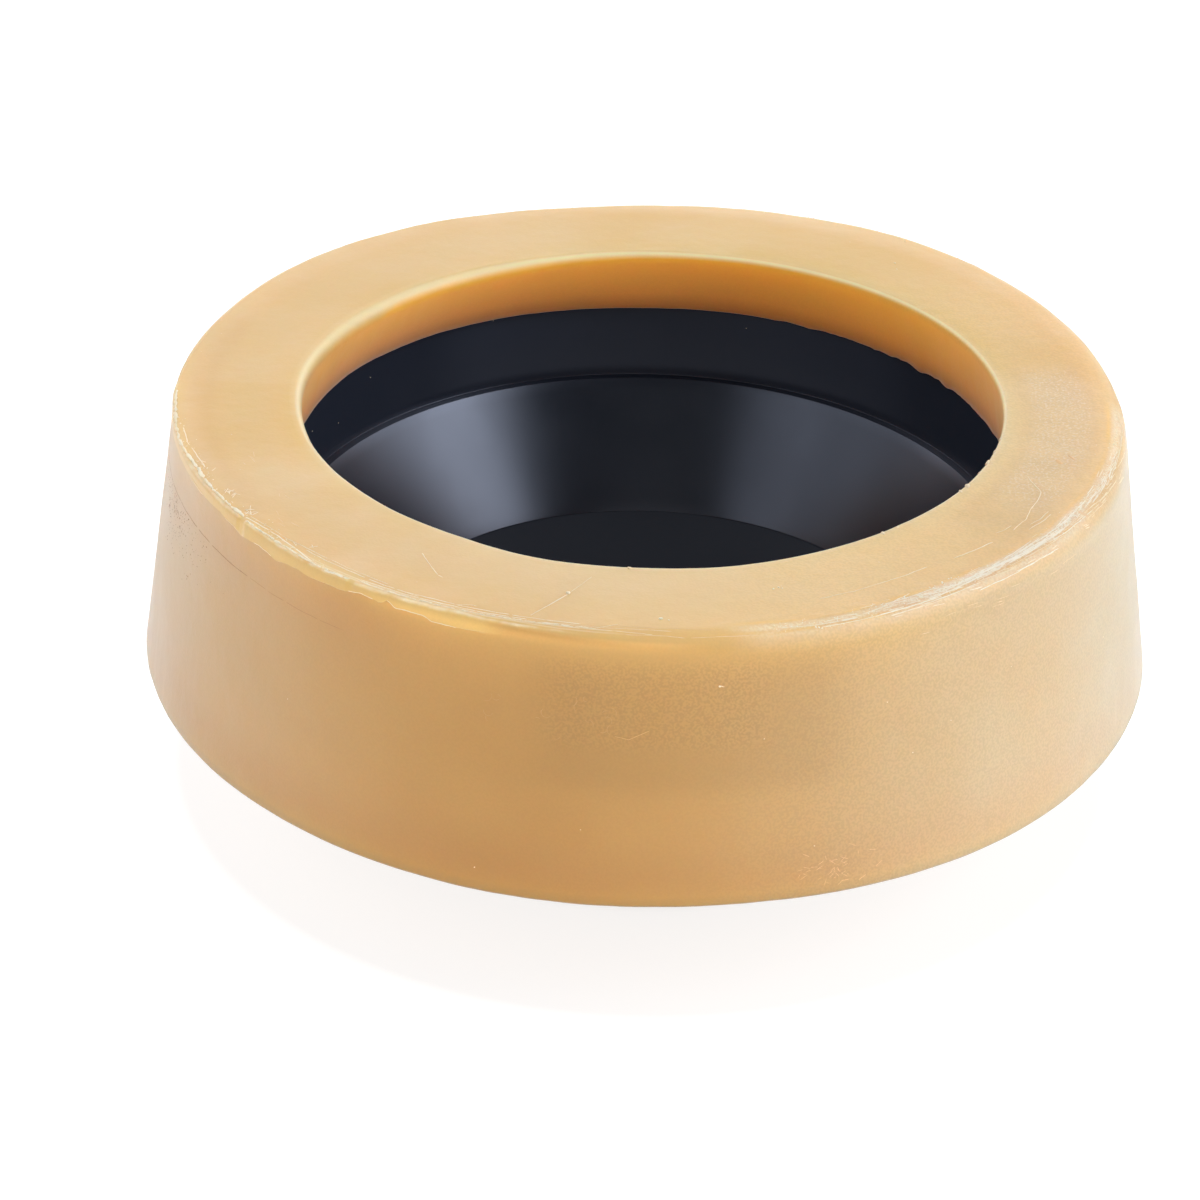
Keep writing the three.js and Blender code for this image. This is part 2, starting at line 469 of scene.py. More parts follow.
    # the inside of the hole, painted a bright orange for light that glows through the wax, and how deep in it, painted
    # darker deeper down; the rim's crisp pale line, a painted highlight
    inner, rim = np.zeros((COLUMNS, rows)), np.zeros((COLUMNS, rows))
    soft_side = window(a, 148, 180, 8) + window(a, -180, -172, 8)
    inner[:, t1 - 9 :] = smooth(0.12 + 0.35 * soft_side, 0.85 + 1.6 * soft_side, below)[:, t1 - 9 :]
    for k, v in enumerate((0.35, 0.7, 1.0, 1.0, 0.8, 0.5, 0.25, 0.1, 0.0)):
        rim[:, t1 - 9 + k] = v
    rim[:, t1 - 10] = 0.15
    deep = np.zeros((COLUMNS, rows))
    deep[:, t1:] = smooth(3.2, 9.0, below)[:, t1:]
    # how the outer wall's colour changes: a painted warm glow under the lit edge, paler round the right with bloom and
    # a painted sheen of the lamps there, greyer at the left, partly bloom and partly a painted sheen where the wall
    # turns away, painted shade darker at the foot
    wall = np.zeros((COLUMNS, rows))
    wall[:, tags["side"] - 4 : e0] = 1.0
    wall[:, e0:e1] = 1 - smooth(-1.6, -0.2, s_all.T)
    patchy = fbm3(P / 11.0, 3, 71)
    painted_warm_glow = wall * np.exp(-np.maximum(below - 0.5, 0) / 3.4)
    painted_warm_glow *= 0.12 + 0.80 * window(a, -112, -62, 14)
    pale = smooth(-90, -46, a) * (1 - smooth(70, 125, a)) * wall * (1 + 0.25 * patchy)
    right = smooth(-48, -12, a) * (1 - smooth(40, 90, a)) * wall
    grey = (1 - smooth(-165, -108, a)) + smooth(110, 165, a)
    grey = grey * wall * (1 + 0.25 * patchy)
    height = P[..., 2]
    low = wall * (1 - smooth(18.5, 27.5, height)) * (1 - 0.6 * smooth(-92, -52, a))
    # painted shade on the front of the wall, which faces away from the lamps
    shade = 1 - 0.10 * wall * window(a, -97, -72, 8) * window(height, 34, 45, 4)
    # painted shade along the bottom edge, where it turns under
    shade *= 1 - 0.42 * (1 - smooth(17.6, 18.3, height)) * (wall > 0)
    # painted shade: the hole's wall is darker just above the lip's end
    shade *= 1 - 0.22 * inner * smooth(6.3, 9.2, below) * (1 - smooth(9.6, 9.9, below))
    # light that comes through the wax just under the near left edge
    lit = window(a, -116, -90, 9) * np.exp(-(((below - 1.0) / 0.7) ** 2)) * (1 - smooth(0.4, 0.8, lid))
    shade *= 1 + 0.19 * lit
    # the far right of the hole's rim catches more light
    shade *= 1 + 0.09 * rim * window(a, 5, 112, 12)
    # a darker strip on the top beside the flash at the left
    strip = window(a, -180, -150, 10) + window(a, 165, 180, 10)
    shade *= 1 - 0.06 * strip * smooth(52.5, 55.5, R) * (lid > 0)
    # the far part of the top is yellower, and so is the left
    face = np.zeros((COLUMNS, rows))
    face[:, e1 - 6 : t1 - 5] = 1.0
    far = 0.55 * window(a, 15, 180, 14) + 0.45 * window(a, 22, 92, 14)
    far = far + 0.9 * window(a, -180, -162, 14)
    far = np.minimum(far, 1.0) * (1 - smooth(54.5, 58.0, R)) * face
    far *= 1 + 0.3 * (1 - smooth(45.0, 48.5, R))
    # a dusty patch on the top at the right, and cloudy ones at the near left
    dusty = window(a, -34, 22, 12) * smooth(44.5, 47.5, R) * (1 - smooth(54.0, 56.5, R)) * face
    dusty *= np.clip(0.75 + 0.7 * fbm3(P / 5.0, 3, 75), 0, 1.2)
    cloudy = window(a, -160, -120, 12) * face * np.clip(0.9 * fbm3(P / 7.0, 2, 77) + 0.15, 0, 1)
    cloudy += 0.6 * window(a, -114, -84, 16) * (1 - smooth(46.5, 55.0, R)) * face
    frost = window(a, -26, 6, 9) * window(R, 48.5, 53.5, 2.0) * face
    # the rubbed band, partly wear and partly a painted highlight, and the orange lines that run beside it
    seen = R + below * 1.857 * -SIN[:, None]
    middle = np.interp(th, [p[0] for p in BAND], [p[1] for p in BAND])[:, None]
    middle = middle + 0.12 * noise1(arc / 5.0, 81)[:, None]
    part = np.zeros((COLUMNS, rows))
    part[:, e0 - 3 : t1] = 1.0
    along = window(a, -76, -3, 6) * part
    strong = 0.5 + 0.5 * window(a, -54, -30, 8)
    x = seen - middle
    rubbed_and_highlight = along * strong * np.exp(-((x / np.where(x < 0, 0.75, 0.60)) ** 2))
    rubbed_and_highlight = np.maximum(rubbed_and_highlight, 0.38 * along * strong * np.exp(-(((x - 1.5) / 0.8) ** 2)))
    # outside it the shoulder is painted paler than the top, a painted sheen
    glow = along * smooth(-1.3, -0.5, x) * (1 - smooth(2.2, 6.5, x)) * (1 - 0.6 * window(a, -24, 0, 8))
    streak = 0.5 + 0.9 * noise1(arc / 6.0, 83)[:, None]
    orange = along * np.clip(streak + 0.15, 0, 1) * np.exp(-(((x + 1.25) / 0.32) ** 2))
    streak = 0.5 + 0.9 * noise1(arc / 4.0, 85)[:, None]
    orange = np.maximum(orange, along * np.clip(streak, 0, 1) * np.exp(-(((x - 0.95) / 0.22) ** 2)))
    coarse = (0.25 + 0.75 * window(a, -66, 30, 22) * (lid + wall > 0)) * (1 - 0.4 * lid)
    coarse = coarse + 0.9 * window(a, -97, -80, 6) * window(height, 38.5, 46.0, 2.5) * (wall > 0)
    for name, values in (
        ("lid", lid), ("inner", inner), ("rim", rim), ("deep", deep), ("painted_warm_glow", painted_warm_glow),
        ("pale", pale), ("right", right), ("grey", grey), ("low", low), ("shade", shade),
        ("far", far), ("dusty", dusty), ("cloudy", cloudy), ("frost", frost),
        ("rubbed_and_highlight", rubbed_and_highlight), ("glow", glow), ("orange", orange), ("coarse", coarse),
    ):
        add_attribute(obj, name, values)
    SKIN["points"], SKIN["tags"] = P, tags
    return obj


# ---------------------------------------------------------------------------------------------
# Flash, crumbs, burrs and nibs on the wax: many small closed lumps, each sunk into the surface
# ---------------------------------------------------------------------------------------------
def column(theta):
    """The ring's section at an angle, as (radius, height) of every row."""
    theta = (theta + 180.0) % 360.0 - 180.0
    P = SKIN["points"]
    i = int(np.searchsorted(TH, theta, side="right")) - 1
    j = (i + 1) % COLUMNS
    t0, t1 = TH[i], (TH[j] if j else 180.0)
    f = (theta - t0) / (t1 - t0)
    p = P[i] * (1 - f) + P[j] * f
    return np.hypot(p[:, 0], p[:, 1]), p[:, 2]


def on_top(theta, radius):
    """The point of the top face, its edges included, at an angle and a radius, and its normal."""
    r, z = column(theta)
    a, b = SKIN["tags"]["edge"] + 4, SKIN["tags"]["inner"]
    r, z = r[a:b][::-1], z[a:b][::-1]
    h, e = float(np.interp(radius, r, z)), 0.15
    slope = (float(np.interp(radius + e, r, z)) - float(np.interp(radius - e, r, z))) / (2 * e)
    slope = max(-3.0, min(3.0, slope))
    c, s = math.cos(math.radians(theta)), math.sin(math.radians(theta))
    n = np.array([-slope * c, -slope * s, 1.0])
    return np.array([radius * c, radius * s, h]), n / np.linalg.norm(n)


def on_wall(theta, height):
    """The point of the outer wall at an angle and a height, and its normal."""
    r, z = column(theta)
    a, b = SKIN["tags"]["side"] - 4, SKIN["tags"]["edge"] + 14
    radius = float(np.interp(height, z[a:b], r[a:b]))
    c, s = math.cos(math.radians(theta)), math.sin(math.radians(theta))
    n = np.array([c, s, 0.12])
    return np.array([radius * c, radius * s, height]), n / np.linalg.norm(n)


class Lumps:
    """Collects small closed shells into one mesh."""

    def __init__(self, seed):
        self.v, self.f, self.tone, self.count = [], [], [], 0
        self.rng = np.random.RandomState(seed)
        ico = bpy.data.meshes.new("ico")
        import bmesh

        bm = bmesh.new()
        bmesh.ops.create_icosphere(bm, subdivisions=2, radius=1.0)
        self.ico_v = np.array([v.co[:] for v in bm.verts])
        self.ico_f = np.array([[v.index for v in f.verts] for f in bm.faces])
        bm.free()
        bpy.data.meshes.remove(ico)

    def add(self, verts, faces, tone):
        self.v.append(verts)
        self.f.extend((np.asarray(f) + self.count).tolist() for f in faces)
        self.tone.append(np.full(len(verts), tone))
        self.count += len(verts)

    def crumb(self, place, length, width, height, turn=0.0, tone=1.0, sink=0.25):
        """An uneven grain, length by width along the surface, sunk by a part of its height."""
        p, n = place
        up = np.array([0, 0, 1.0]) if abs(n[2]) < 0.9 else np.array([1.0, 0, 0])
        t = np.cross(up, n)
        t /= np.linalg.norm(t)
        b = np.cross(n, t)
        t, b = t * math.cos(turn) + b * math.sin(turn), b * math.cos(turn) - t * math.sin(turn)
        shape = self.ico_v * (
            1 + 0.35 * noise3(self.ico_v * 1.1 + self.rng.uniform(0, 60, 3), 5)
        )[:, None]
        v = (
            p
            + n * height * (0.5 - sink)
            + shape[:, :1] * t * length / 2
            + shape[:, 1:2] * b * width / 2
            + shape[:, 2:] * n * height / 2
        )
        self.add(v, self.ico_f, tone)

    def burr(self, places, width, height, tone=1.0, rough=0.35, sink=0.3, sides=7):
        """A hair or flake along a path, thin at both ends and uneven between them."""
        p = np.array([q[0] for q in places])
        n = np.array([q[1] for q in places])
        m = len(p)
        if m < 3:
            return
        t = np.gradient(p, axis=0)
        t /= np.maximum(np.linalg.norm(t, axis=1, keepdims=True), 1e-9)
        b = np.cross(n, t)
        b /= np.maximum(np.linalg.norm(b, axis=1, keepdims=True), 1e-9)
        along = np.concatenate([[0], np.cumsum(np.linalg.norm(np.diff(p, axis=0), axis=1))])
        k = self.rng.uniform(0, 90)
        end = np.clip(np.minimum(along, along[-1] - along) / max(0.6 * width + 0.12, 1e-6), 0.06, 1) ** 0.6
        w = width * end * np.clip(1 + rough * noise1(along / 0.45 + k, 6) * 1.6, 0.25, 2)
        h = height * end * np.clip(1 + rough * noise1(along / 0.35 + k + 31, 7) * 1.6, 0.25, 2)
        side = 0.3 * rough * width * noise1(along / 0.6 + k + 57, 8)
        rings = []
        for a in np.linspace(0, 2 * math.pi, sides, endpoint=False):
            ring = (
                p
                + b * (side + w / 2 * math.cos(a))[:, None]
                + n * (h * (math.sin(a) * 0.5 + 0.5 - sink))[:, None]
            )
            rings.append(ring)
        v = np.stack(rings, 1).reshape(-1, 3)
        faces = []
        for i in range(m - 1):
            for a in range(sides):
                c = (a + 1) % sides
                faces.append([i * sides + a, i * sides + c, (i + 1) * sides + c, (i + 1) * sides + a])
        faces.append(list(range(sides - 1, -1, -1)))
        faces.append([(m - 1) * sides + a for a in range(sides)])
        self.add(v, faces, tone)

    def mesh(self, name):
        obj = new_mesh(name, np.concatenate(self.v), self.f, 70)
        add_attribute(obj, "tone", np.concatenate(self.tone))
        return obj


def along_top(pairs, step=0.3, wobble=0.0, seed=0):
    """Places along a polyline of (angle, radius) on the top face."""
    q = np.array([[r * math.cos(math.radians(t)), r * math.sin(math.radians(t))] for t, r in pairs])
    d = np.concatenate([[0], np.cumsum(np.hypot(*np.diff(q, axis=0).T))])
    x = np.linspace(0, d[-1], max(3, int(d[-1] / step) + 1))
    px, py = np.interp(x, d, q[:, 0]), np.interp(x, d, q[:, 1])
    if wobble:
        px = px + wobble * noise1(x / 1.1 + seed, 3)
        py = py + wobble * noise1(x / 1.1 + seed + 20, 4)
    return [on_top(math.degrees(math.atan2(b, a)), math.hypot(a, b)) for a, b in zip(px, py)]


def along_wall(pairs, step=0.3):
    """Places along a polyline of (angle, height) on the outer wall."""
    q = np.array([[math.radians(t) * 61.0, z] for t, z in pairs])
    d = np.concatenate([[0], np.cumsum(np.hypot(*np.diff(q, axis=0).T))])
    x = np.linspace(0, d[-1], max(3, int(d[-1] / step) + 1))
    return [
        on_wall(math.degrees(a / 61.0), z)
        for a, z in zip(np.interp(x, d, q[:, 0]), np.interp(x, d, q[:, 1]))
    ]


def on_skin(theta):
    """A point of the lower edge of the skin that hangs over the side, and its normal."""
    P, row = SKIN["points"], SKIN["tags"]["edge"] + 9
    i = int(np.searchsorted(TH, theta, side="right")) - 1
    j = min(i + 1, COLUMNS - 1)
    f = (theta - TH[i]) / max(TH[j] - TH[i], 1e-6)
    c, s = math.cos(math.radians(theta)), math.sin(math.radians(theta))
    return P[i, row] * (1 - f) + P[j, row] * f, np.array([c, s, 0.12])


def along_collar(pairs, step=0.3):
    """Places along a polyline of (angle, height) on the inner face of the horn's collar."""
    out = []
    for (t0, z0), (t1, z1) in zip(pairs, pairs[1:]):
        n = max(2, int(math.hypot(math.radians(t1 - t0) * 46.5, z1 - z0) / step))
        for k in range(n):
            t, z = t0 + (t1 - t0) * k / n, z0 + (z1 - z0) * k / n
            r = COLLAR_R_BOTTOM + (COLLAR_R_TOP - COLLAR_R_BOTTOM) * (z - 30.75) / 11.75
            c, s = math.cos(math.radians(t)), math.sin(math.radians(t))
            out.append((np.array([r * c, r * s, z]), np.array([-c, -s, 0.04])))
    return out


# crest of the mould flash along the near left edge
CREST = [
    (-180, 58.7), (-174, 58.7), (-164.2, 58.75), (-161.6, 58.6), (-159.5, 58.4), (-157.3, 58.2),
    (-155, 58.33), (-152.9, 58.28), (-150.8, 58.28), (-149.5, 58.15), (-148, 58.15), (-144.2, 57.97),
    (-142.9, 58.45), (-141.2, 58.4), (-138.5, 58.33), (-135.3, 58.5), (-133.4, 58.65), (-131.3, 58.75),
    (-129.7, 58.9), (-127.6, 58.95), (-124.9, 58.95), (-124.3, 58.4), (-121.9, 58.55), (-119.3, 58.5),
    (-116.7, 58.5), (-114.3, 58.4), (-111.8, 58.4), (-108.3, 58.35), (-103.7, 58.2), (-99.2, 58.1),
    (-94.7, 58.2), (-88.0, 58.4), (-75, 58.6),
]


def crest(theta):
    return float(np.interp(theta, [c[0] for c in CREST], [c[1] for c in CREST]))


def flash():
    L = Lumps(2024)
    rng = L.rng
    deg = 180.0 / (math.pi * 58.5)  # degrees per millimetre along the crest

    def path(start, length, offset, jitter, step=0.22):
        n = max(4, int(length / step))
        k = rng.uniform(0, 80)
        out = []
        for i in range(n + 1):
            t = start + deg * length * i / n
            r = crest(t) + offset + jitter * float(noise1(np.array([t / deg / 1.1 + k]), 9)[0])
            out.append(on_top(t, r))
        return out

    # torn flakes of the crest, with the two gaps of the photograph
    t = -178.0
    while t < -97.0:
        length = rng.uniform(0.9, 4.2)
        gap = rng.uniform(0.0, 0.15) if rng.rand() < 0.85 else rng.uniform(0.2, 0.5)
        broad = 1.0 + 0.4 * float(noise1(np.array([t / 5.0]), 17)[0])
        broad *= 1.05 if t < -164 else (1.5 if t < -146 else (0.8 if t < -125 else 0.66))
        for lo, hi in ((-143.9, -142.9), (-124.7, -123.8)):
            if t < hi and t + deg * length > lo:
                length = max(0.3, (lo - t) / deg)
                gap = (hi - lo) / deg
        if length > 0.45:
            L.burr(path(t, length, rng.uniform(-0.06, 0.06), 0.07), 0.31 * broad, 0.165 * broad, 1.1, 0.6)
        if rng.rand() < 0.45:  # a chip lying on it
            off = rng.uniform(-0.2, 0.25)
            L.burr(
                path(t + deg * rng.uniform(0, 1), rng.uniform(0.4, 1.2), off, 0.15),
                rng.uniform(0.14, 0.30) * broad, rng.uniform(0.09, 0.18), 1.1, 0.6,
            )
        t += deg * (length + gap)

    # fine lines that run beside the crest, on its inner side, drawn as (angle, radius)
    for line, width, tone in (
        ([(-143.75, 57.93), (-140.9, 57.58), (-137.8, 57.43), (-134.3, 57.79), (-130.5, 58.55)], 0.17, 1.0),
        ([(-168, 57.95), (-164, 57.88), (-160, 57.45), (-156.5, 57.3)], 0.11, 0.85),
        ([(-143.5, 57.4), (-139.5, 57.0), (-136.3, 57.05)], 0.08, 0.8),
        ([(-133.0, 57.15), (-129.3, 57.25), (-125.8, 57.35), (-121.0, 57.6), (-116.0, 57.75)], 0.10, 0.9),
        ([(-136.5, 57.0), (-131.0, 56.75), (-126.5, 56.9), (-120.5, 57.2)], 0.07, 0.75),
        ([(-123.6, 58.1), (-118.0, 58.1), (-113.0, 58.0), (-108.0, 57.95), (-103.0, 57.85)], 0.12, 1.0),
        ([(-118.5, 57.65), (-111.0, 57.55), (-104.0, 57.45), (-97.0, 57.5)], 0.10, 0.9),
        ([(-110.5, 58.65), (-104.0, 58.5), (-96.0, 58.45), (-89.0, 58.65)], 0.08, 0.7),
        ([(-101.0, 57.95), (-94.0, 57.95), (-87.0, 58.15)], 0.06, 0.6),
        ([(-95.0, 57.4), (-88.5, 57.6), (-82.0, 58.0)], 0.05, 0.5),
        ([(-92.0, 58.8), (-85.0, 58.9), (-77.0, 58.95)], 0.06, 0.55),
    ):
        places = along_top(line, 0.3, 0.05, width * 200 + line[0][0])
        k = 0
        while k < len(places) - 4:
            n = rng.randint(9, 34)
            L.burr(places[k : k + n], width * rng.uniform(0.9, 1.3), 0.032, min(1.3, tone + 0.2), 0.3)
            k += n - 1 + (rng.randint(0, 3) if rng.rand() < 0.6 else 0)

    # crumbs just inside the crest
    for _ in range(80):
        t = rng.uniform(-172, -128)
        off = -0.35 - rng.exponential(0.5)
        size = rng.uniform(0.06, 0.14)
        L.crumb(on_top(t, crest(t) + max(off, -2.6)), size * rng.uniform(1, 2.2), size, size * 0.4, rng.uniform(0, 3), 1.0)
    # small curls and crumbs that lie together
    for tc, rc, n, spread in ((-150.0, 56.7, 11, 0.6), (-144.4, 57.0, 12, 0.6), (-158.0, 57.1, 6, 0.8), (-136.0, 57.2, 3, 0.8), (-133.0, 55.8, 2, 0.5)):
        for _ in range(n):
            t, r = tc + deg * rng.normal(0, spread), rc + rng.normal(0, 0.3)
            if rng.rand() < 0.6:
                a = rng.uniform(0, 3.1)
                q = [(t + deg * x * math.cos(a), r + x * math.sin(a)) for x in np.linspace(-0.4, 0.4, 4) * rng.uniform(0.6, 1.6)]
                L.burr(along_top(q, 0.14), 0.09, 0.05, 1.0, 0.5)
            else:
                L.crumb(on_top(t, r), 0.17, 0.11, 0.06, rng.uniform(0, 3), 1.0)

    # lifted lips of the thin skin, along its lower edge
    for t0, t1, width in (
        (-157.5, -153.0, 0.08), (-147.0, -144.2, 0.06), (-140.5, -137.0, 0.07), (-124.6, -121.0, 0.09),
        (-119.3, -110.6, 0.10),
    ):
        n = max(5, int((t1 - t0) / deg / 0.25))
        L.burr([on_skin(t0 + (t1 - t0) * k / n) for k in range(n + 1)], width, 0.05, 0.85, 0.4)

    # the pale band rubbed along the near right: grains and fine slivers lying on it, the palest of them partly painted
    # glints
    def on_band(t, offset):
        """On the top or its rounded edge, so many millimetres from the band's middle."""
        want = float(np.interp(t, [p[0] for p in BAND], [p[1] for p in BAND])) + offset
        r, z = column(t)
        a, b = SKIN["tags"]["edge"], SKIN["tags"]["inner"]
        r, z = r[a:b][::-1], z[a:b][::-1]
        seen = r + (WAX_TOP - z) * 1.857 * -math.sin(math.radians(t))
        k = int(np.argmax(seen >= want)) or len(seen) - 1
        f = (want - seen[k - 1]) / max(seen[k] - seen[k - 1], 1e-6)
        f = min(max(f, 0.0), 1.0)
        c, s = math.cos(math.radians(t)), math.sin(math.radians(t))
        rr, zz = r[k - 1] + f * (r[k] - r[k - 1]), z[k - 1] + f * (z[k] - z[k - 1])
        n = np.array([-(z[k] - z[k - 1]), r[k] - r[k - 1]])
        n = n / max(np.linalg.norm(n), 1e-9)
        return np.array([rr * c, rr * s, zz]), np.array([n[0] * c, n[0] * s, n[1]])

    for _ in range(210):
        t = -74 + 62 * rng.beta(1.7, 1.5)
        offset = rng.normal(0.1, 0.5) if rng.rand() < 0.75 else rng.uniform(0.6, 2.6)
        length = rng.uniform(0.5, 2.8) if rng.rand() < 0.85 else rng.uniform(3, 7)
        k, drift = rng.uniform(0, 50), rng.normal(0, 0.08)
        n = max(4, int(length / 0.25))
        q = []
        for i in range(n + 1):
            x = length * i / n
            wave = 0.08 * float(noise1(np.array([x / 0.9 + k]), 13)[0])
            q.append(on_band(t + deg * x, offset + drift * x + wave))
        L.burr(q, rng.uniform(0.05, 0.12), rng.uniform(0.025, 0.05), 1.4 if abs(offset) < 0.7 else 1.0, 0.5, 0.3, 5)
    for _ in range(420):
        t = -76 + 70 * rng.beta(1.4, 1.4)
        size = rng.uniform(0.05, 0.12)
        L.crumb(on_band(t, rng.normal(0.0, 0.5)), size * 1.5, size, size * 0.35, rng.uniform(0, 3), 1.5)
    # longer bright strands in it, partly painted glints
    for t0, t1, o0, o1, width in (
        (-64, -55, 1.2, 1.1, 0.12), (-57, -46, 0.9, 0.1, 0.14), (-51, -42, -0.3, -0.2, 0.13),
        (-62, -55, -0.75, -0.85, 0.09), (-47, -36, -0.1, 0.2, 0.16), (-44, -33, 0.35, 0.3, 0.13),
        (-50, -40, 2.7, 2.4, 0.09), (-44, -36, 2.3, 2.5, 0.09), (-58, -50, 1.5, 1.35, 0.08),
        (-38, -28, -0.5, -0.3, 0.10), (-36, -26, 0.9, 1.4, 0.09), (-26, -12, 0.2, 0.4, 0.08),
        (-20, -6, 0.7, 0.5, 0.07), (-75, -66, 0.3, 0.5, 0.055), (-70, -62, 1.1, 1.2, 0.07),
    ):
        n = max(8, int((t1 - t0) / deg / 0.25))
        k = rng.uniform(0, 60)
        wave = 0.10 * noise1(np.linspace(0, (t1 - t0) / deg / 1.6, n + 1) + k, 14)
        L.burr([on_band(t0 + (t1 - t0) * i / n, o0 + (o1 - o0) * i / n + wave[i]) for i in range(n + 1)], width, 0.06, 1.5, 0.45)
    # clusters of bright specks at its inner border, partly painted glints
    for tc, oc, n in ((-55.2, -0.9, 7), (-53.4, -1.3, 5), (-51.8, -1.3, 5), (-59.5, -0.6, 6), (-68.4, -0.3, 5), (-62.0, -0.6, 5), (-70.5, 1.0, 4)):
        for _ in range(n):
            size = rng.uniform(0.09, 0.2)
            L.crumb(on_band(tc + deg * rng.normal(0, 0.35), oc + rng.normal(0, 0.22)), size * 1.4, size, size * 0.4, rng.uniform(0, 3), 1.5)
    # thin flakes below the band, on the wall's upper part
    for _ in range(12):
        t, z = -62 + 34 * rng.beta(1.6, 1.4), 50.7 - rng.uniform(2.0, 3.6)
        length = rng.uniform(0.6, 2.2)
        q = [(t + deg * length * k, z + 0.08 * length * (k - 0.5) * rng.normal(0, 1)) for k in (0, 0.5, 1)]
        L.burr(along_wall(q, 0.3), rng.uniform(0.04, 0.07), 0.02, 0.75, 0.5)
    # a yellow flake pressed over the shoulder, and pale streaks below it
    L.crumb(on_band(-28.2, 0.9), 1.5, 0.6, 0.08, 1.9, 0.76, 0.4)
    L.burr([on_band(-28.9 + deg * k, 0.75 + 0.3 * k) for k in np.linspace(-0.7, 0.7, 6)], 0.08, 0.05, 1.0, 0.4)
    for o, x in ((2.3, 0.0), (2.6, 0.25), (2.9, 0.1)):
        L.burr([on_band(-29.4 + x + deg * k, o + 0.25 * k) for k in np.linspace(-0.5, 0.5, 5)], 0.08, 0.04, 1.0, 0.4)
    # a small scoop out of the right edge, and an orange smudge on the top
    q = [(-1.4, 57.9), (-2.6, 58.3), (-4.0, 58.55), (-5.4, 58.7), (-6.8, 58.7)]
    L.burr(along_top(q, 0.25), 0.28, 0.03, 0.76, 0.35)
    L.burr(along_top([(t, r - 0.28) for t, r in q], 0.25), 0.09, 0.06, 1.0, 0.35)
    L.crumb(on_top(-16.9, 51.7), 1.3, 0.6, 0.04, 0.4, 0.6, 0.4)
    L.crumb(on_top(-15.2, 53.0), 1.5, 0.3, 0.04, 0.5, 0.62, 0.4)

    # long flake lines on the top at the near right
    for line, width in (
        ([(-68.5, 53.7), (-64, 53.5), (-60, 53.25), (-56, 53.05), (-52.5, 52.9)], 0.09),
        ([(-48.3, 53.1), (-45, 53.4), (-41.6, 53.6)], 0.13),
        ([(-37.4, 53.7), (-34.1, 53.5), (-31.4, 52.8), (-28.4, 52.5), (-26.2, 52.0), (-24.9, 50.9), (-23.2, 49.4)], 0.10),
        ([(-39.4, 52.6), (-38.0, 52.9), (-36.5, 53.0)], 0.09),
        ([(-36.0, 55.0), (-33.5, 55.3), (-31.0, 55.3)], 0.10),
        ([(-35.0, 54.5), (-33.0, 54.8), (-30.5, 54.8)], 0.08),
    ):
        L.burr(along_top(line, 0.25, 0.07, width * 100), width, 0.055, 1.0, 0.4)

    # scratches and specks on the top at the near left and front
    for line, width, tone in (
        ([(-121.5, 49.1), (-119.3, 50.6), (-116.7, 52.4)], 0.10, 1.0),
        ([(-116.7, 52.4), (-115.9, 52.6)], 0.12, 1.0),
        ([(-102.9, 56.9), (-101.6, 54.4), (-99.75, 51.2)], 0.13, 1.0),
        ([(-99.5, 50.6), (-98.4, 48.5), (-97.5, 46.7)], 0.08, 0.85),
        ([(-95.6, 58.3), (-94.0, 57.5), (-92.9, 57.0)], 0.09, 0.9),
        ([(-111.4, 57.6), (-110.0, 56.9), (-109.2, 56.9)], 0.10, 0.95),
    ):
        L.burr(along_top(line, 0.22, 0.03, width * 77), width, 0.045, tone, 0.3)
    for t, r, size in (
        (-99.75, 51.0, 0.68), (-88.1, 55.5, 0.52), (-87.2, 55.8, 0.22), (-73.2, 50.1, 0.30),
        (-72.4, 49.9, 0.30), (-72.0, 50.2, 0.2), (-71.9, 49.7, 0.13), (-75.6, 57.9, 0.30),
        (-57.0, 49.0, 0.13), (-59.5, 57.9, 0.18), (-24.3, 48.0, 0.13), (-165, 52.4, 0.12),
        (-155, 53.6, 0.10), (-118, 55.0, 0.10),
    ):
        L.crumb(on_top(t, r), size, size * 0.8, size * 0.35, rng.uniform(0, 3), 1.0, 0.2)
    for tc, rc in ((-157.0, 51.3), (-146.0, 50.8), (-140.0, 54.6)):  # faint brushed marks
        for _ in range(4):
            t, r = tc + deg * rng.normal(0, 1.2), rc + rng.normal(0, 0.7)
            a = rng.uniform(-0.5, 0.6)
            q = [(t + deg * x * math.cos(a), r + x * math.sin(a)) for x in np.linspace(-0.7, 0.7, 4) * rng.uniform(0.5, 1.3)]
            L.burr(along_top(q, 0.2), 0.05, 0.012, 0.76, 0.3)
    for _ in range(60):  # dust in the frosty patch at the right
        t, r, size = rng.normal(-12, 10), rng.normal(50.8, 2.2), rng.uniform(0.05, 0.11)
        L.crumb(on_top(t, min(max(r, 46.5), 56.0)), size * 1.3, size, size * 0.3, rng.uniform(0, 3), 1.0)

    # nibs round the hole
    for t, r, size in (
        (-20.8, 43.7, 0.75), (-29.7, 43.8, 0.7), (-32.0, 43.8, 0.5), (-48.0, 43.7, 0.45),
        (-51.1, 43.7, 0.5), (-92.5, 43.85, 0.6), (-24.5, 43.7, 0.45), (-96.5, 44.0, 0.2),
        (-88.0, 43.9, 0.22), (-16.5, 43.8, 0.6), (-12.0, 43.8, 0.5), (-18.6, 43.8, 0.4), (-14.2, 43.8, 0.35),
    ):
        p, n = on_top(t, r + 0.02)
        p = p + np.array([0, 0, -0.12])
        L.crumb((p, n), size * 1.9, size * 0.95, size * 0.55, rng.uniform(-0.3, 0.3), 0.8, 0.35)

    # marks on the outer wall
    for q, width, height, tone in (
        ([(-92.8, 38.65), (-91.3, 38.3), (-89.1, 39.5)], 0.06, 0.02, 0.42),
        ([(-81.9, 44.8), (-81.3, 44.6)], 0.12, 0.05, 0.8),
    ):
        L.burr(along_wall(q, 0.2), width, height, tone, 0.4)
